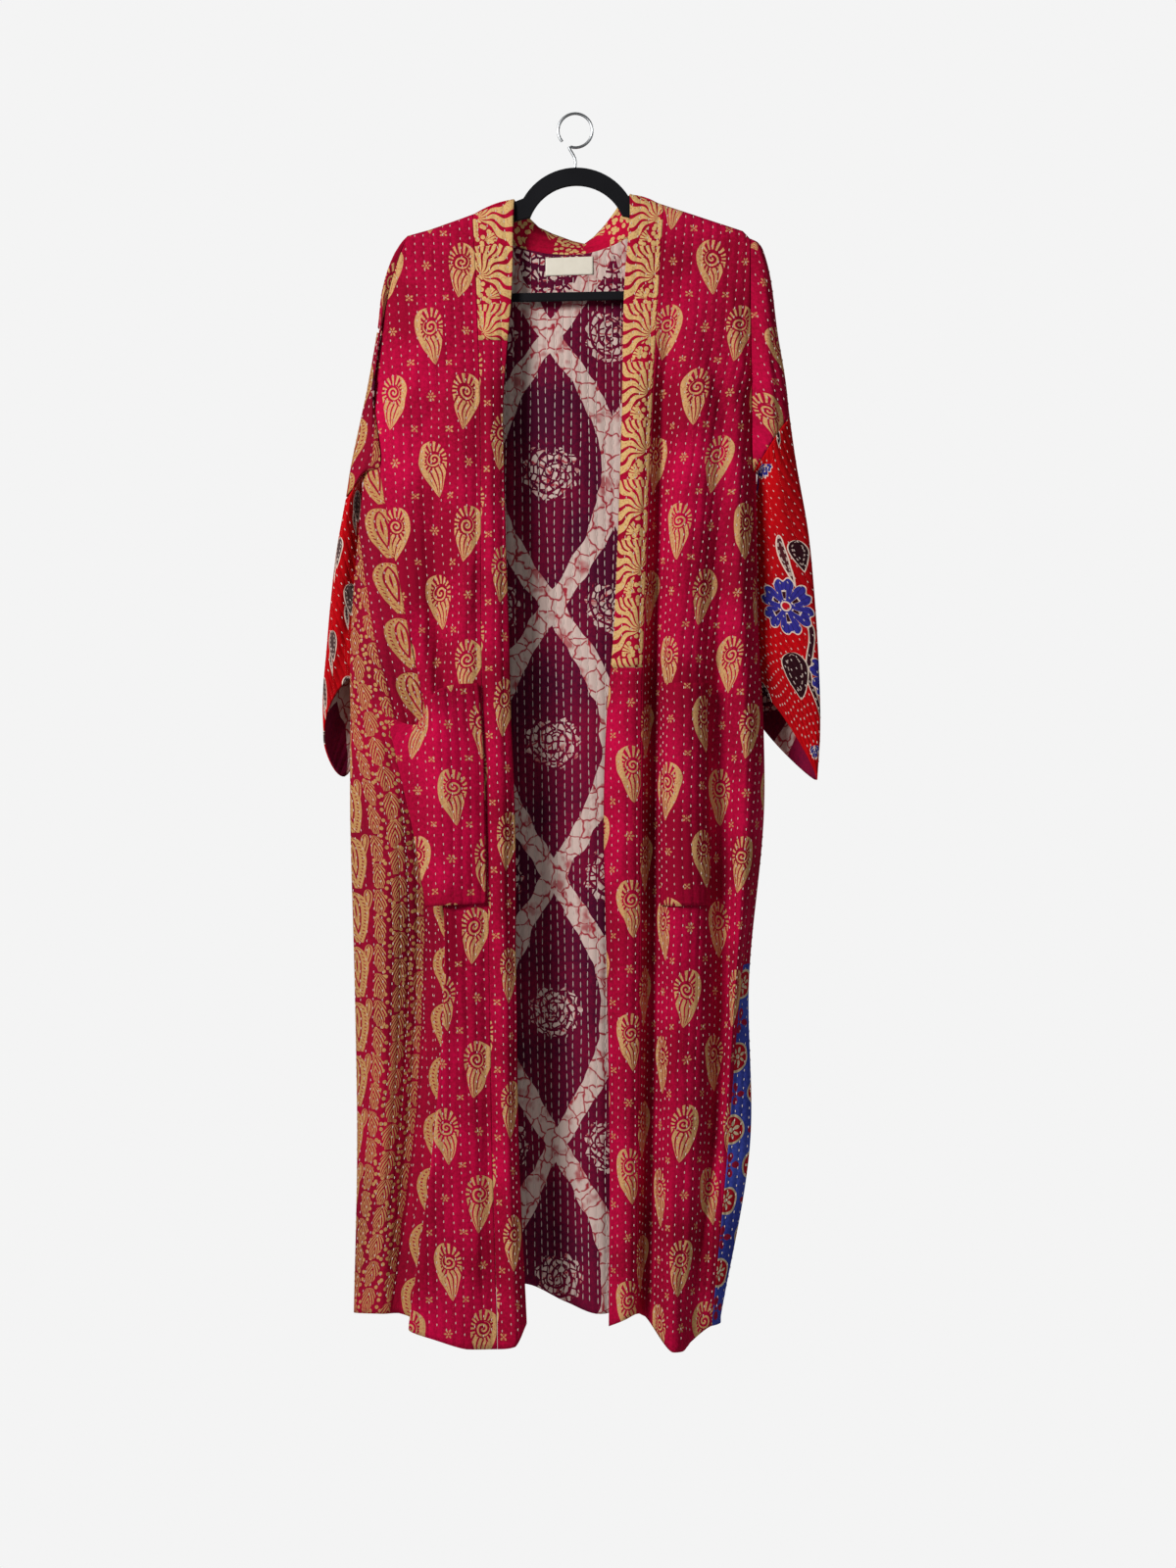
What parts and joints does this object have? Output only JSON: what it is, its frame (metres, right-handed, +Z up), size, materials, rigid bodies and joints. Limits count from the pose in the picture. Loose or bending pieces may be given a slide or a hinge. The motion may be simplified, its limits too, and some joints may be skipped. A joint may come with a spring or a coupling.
{
  "type": "long kimono robe on a hanger",
  "caption": "Long open-front kimono robe of quilted cotton with collar band, side panels, straight sleeves and patch pockets, hung on a slim hanger with a wire hook.",
  "frame": {"origin": "inside top of the hanger's hook, where a rail carries it", "axes": "+Z up, -Y the way the open front faces, +X towards the wearer's left"},
  "size_m": [0.5896, 0.1108, 1.4444],
  "materials": {
    "magenta_cotton": "matte printed cotton, hand quilted",
    "border_cotton": "matte printed cotton border",
    "blue_cotton": "matte printed cotton",
    "red_cotton": "matte batik cotton, hand quilted",
    "label_tape": "matte woven tape",
    "hanger_velvet": "black flock over plastic",
    "hook_steel": "plain steel wire"
  },
  "bodies": {
    "root": {"front_right": "magenta_cotton", "front_left": "magenta_cotton", "back": "magenta_cotton", "side_gusset_right": "border_cotton", "side_strip_left": "blue_cotton", "collar_right_print": "border_cotton", "collar_right_plain": "magenta_cotton", "collar_left_print": "border_cotton", "collar_left_plain": "magenta_cotton", "collar_back": "border_cotton", "sleeve_left_upper": "magenta_cotton", "sleeve_left_lower": "red_cotton", "sleeve_right_upper": "magenta_cotton", "sleeve_right_border": "border_cotton", "sleeve_right_lower": "red_cotton", "pocket_right": "magenta_cotton", "pocket_left": "magenta_cotton", "label": "label_tape", "hanger": "hanger_velvet", "hook": "hook_steel"}
  },
  "joints": []
}
